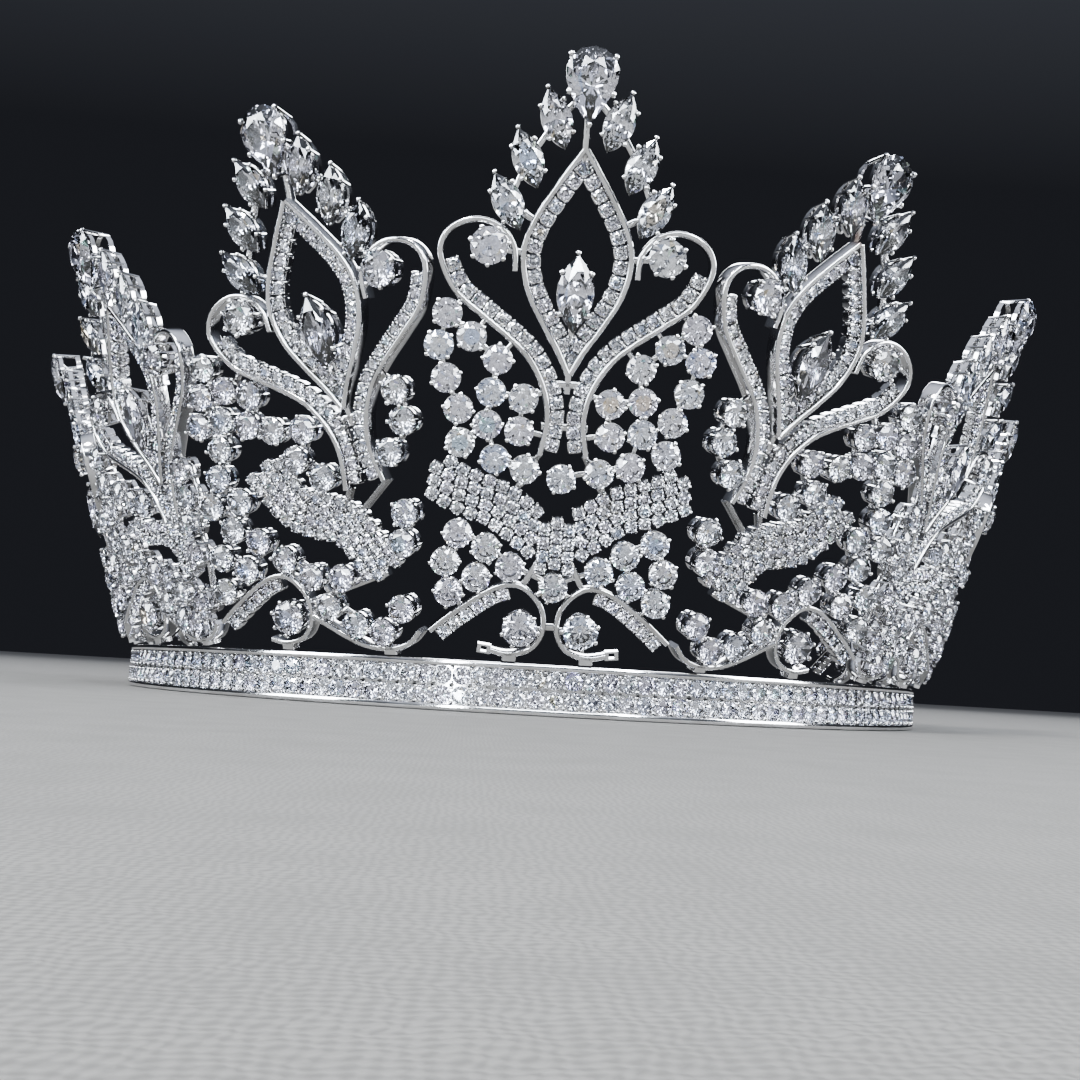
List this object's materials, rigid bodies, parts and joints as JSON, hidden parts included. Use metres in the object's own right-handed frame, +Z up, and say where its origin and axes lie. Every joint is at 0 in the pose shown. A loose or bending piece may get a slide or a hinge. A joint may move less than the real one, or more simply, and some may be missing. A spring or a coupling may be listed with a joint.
{
  "type": "pageant crown",
  "caption": "Open-backed pageant crown: stone-set hoop with outward-leaning pierced flame panels, pear and marquise crests, scrolls and scattered round stones.",
  "frame": {"origin": "centre of the hoop's circle in the plane of its lower edge, where the crown sits on a head or table", "axes": "+Z up through the peaks, +X to the right seen from the front, the centre peak towards -Y and the open back towards +Y"},
  "size_m": [0.1846, 0.1681, 0.0869],
  "materials": {
    "plated_metal": "polished rhodium-coloured plating on cast and soldered metal",
    "zirconia": "clear faceted cubic zirconia"
  },
  "bodies": {
    "root": {"hoop": "plated_metal", "panel_centre": "plated_metal", "panel_left_1": "plated_metal", "panel_left_2": "plated_metal", "panel_left_3": "plated_metal", "panel_left_4": "plated_metal", "panel_right_1": "plated_metal", "panel_right_2": "plated_metal", "panel_right_3": "plated_metal", "panel_right_4": "plated_metal", "pear_centre": "zirconia", "pear_left_1": "zirconia", "pear_left_2": "zirconia", "pear_left_3": "zirconia", "pear_right_1": "zirconia", "pear_right_2": "zirconia", "pear_right_3": "zirconia", "crest_centre": "zirconia", "crest_left_1": "zirconia", "crest_left_2": "zirconia", "crest_left_3": "zirconia", "crest_right_1": "zirconia", "crest_right_2": "zirconia", "crest_right_3": "zirconia", "heart_centre": "zirconia", "heart_left_1": "zirconia", "heart_left_2": "zirconia", "heart_left_3": "zirconia", "heart_right_1": "zirconia", "heart_right_2": "zirconia", "heart_right_3": "zirconia", "curl_stones_centre": "zirconia", "curl_stones_left_1": "zirconia", "curl_stones_left_2": "zirconia", "curl_stones_left_3": "zirconia", "curl_stones_right_1": "zirconia", "curl_stones_right_2": "zirconia", "curl_stones_right_3": "zirconia", "scroll_stones_centre": "zirconia", "scroll_stones_left_1": "zirconia", "scroll_stones_left_2": "zirconia", "scroll_stones_left_3": "zirconia", "scroll_stones_left_4": "zirconia", "scroll_stones_right_1": "zirconia", "scroll_stones_right_2": "zirconia", "scroll_stones_right_3": "zirconia", "scroll_stones_right_4": "zirconia", "field_centre": "zirconia", "field_left_1": "zirconia", "field_right_1": "zirconia"}
  },
  "joints": []
}
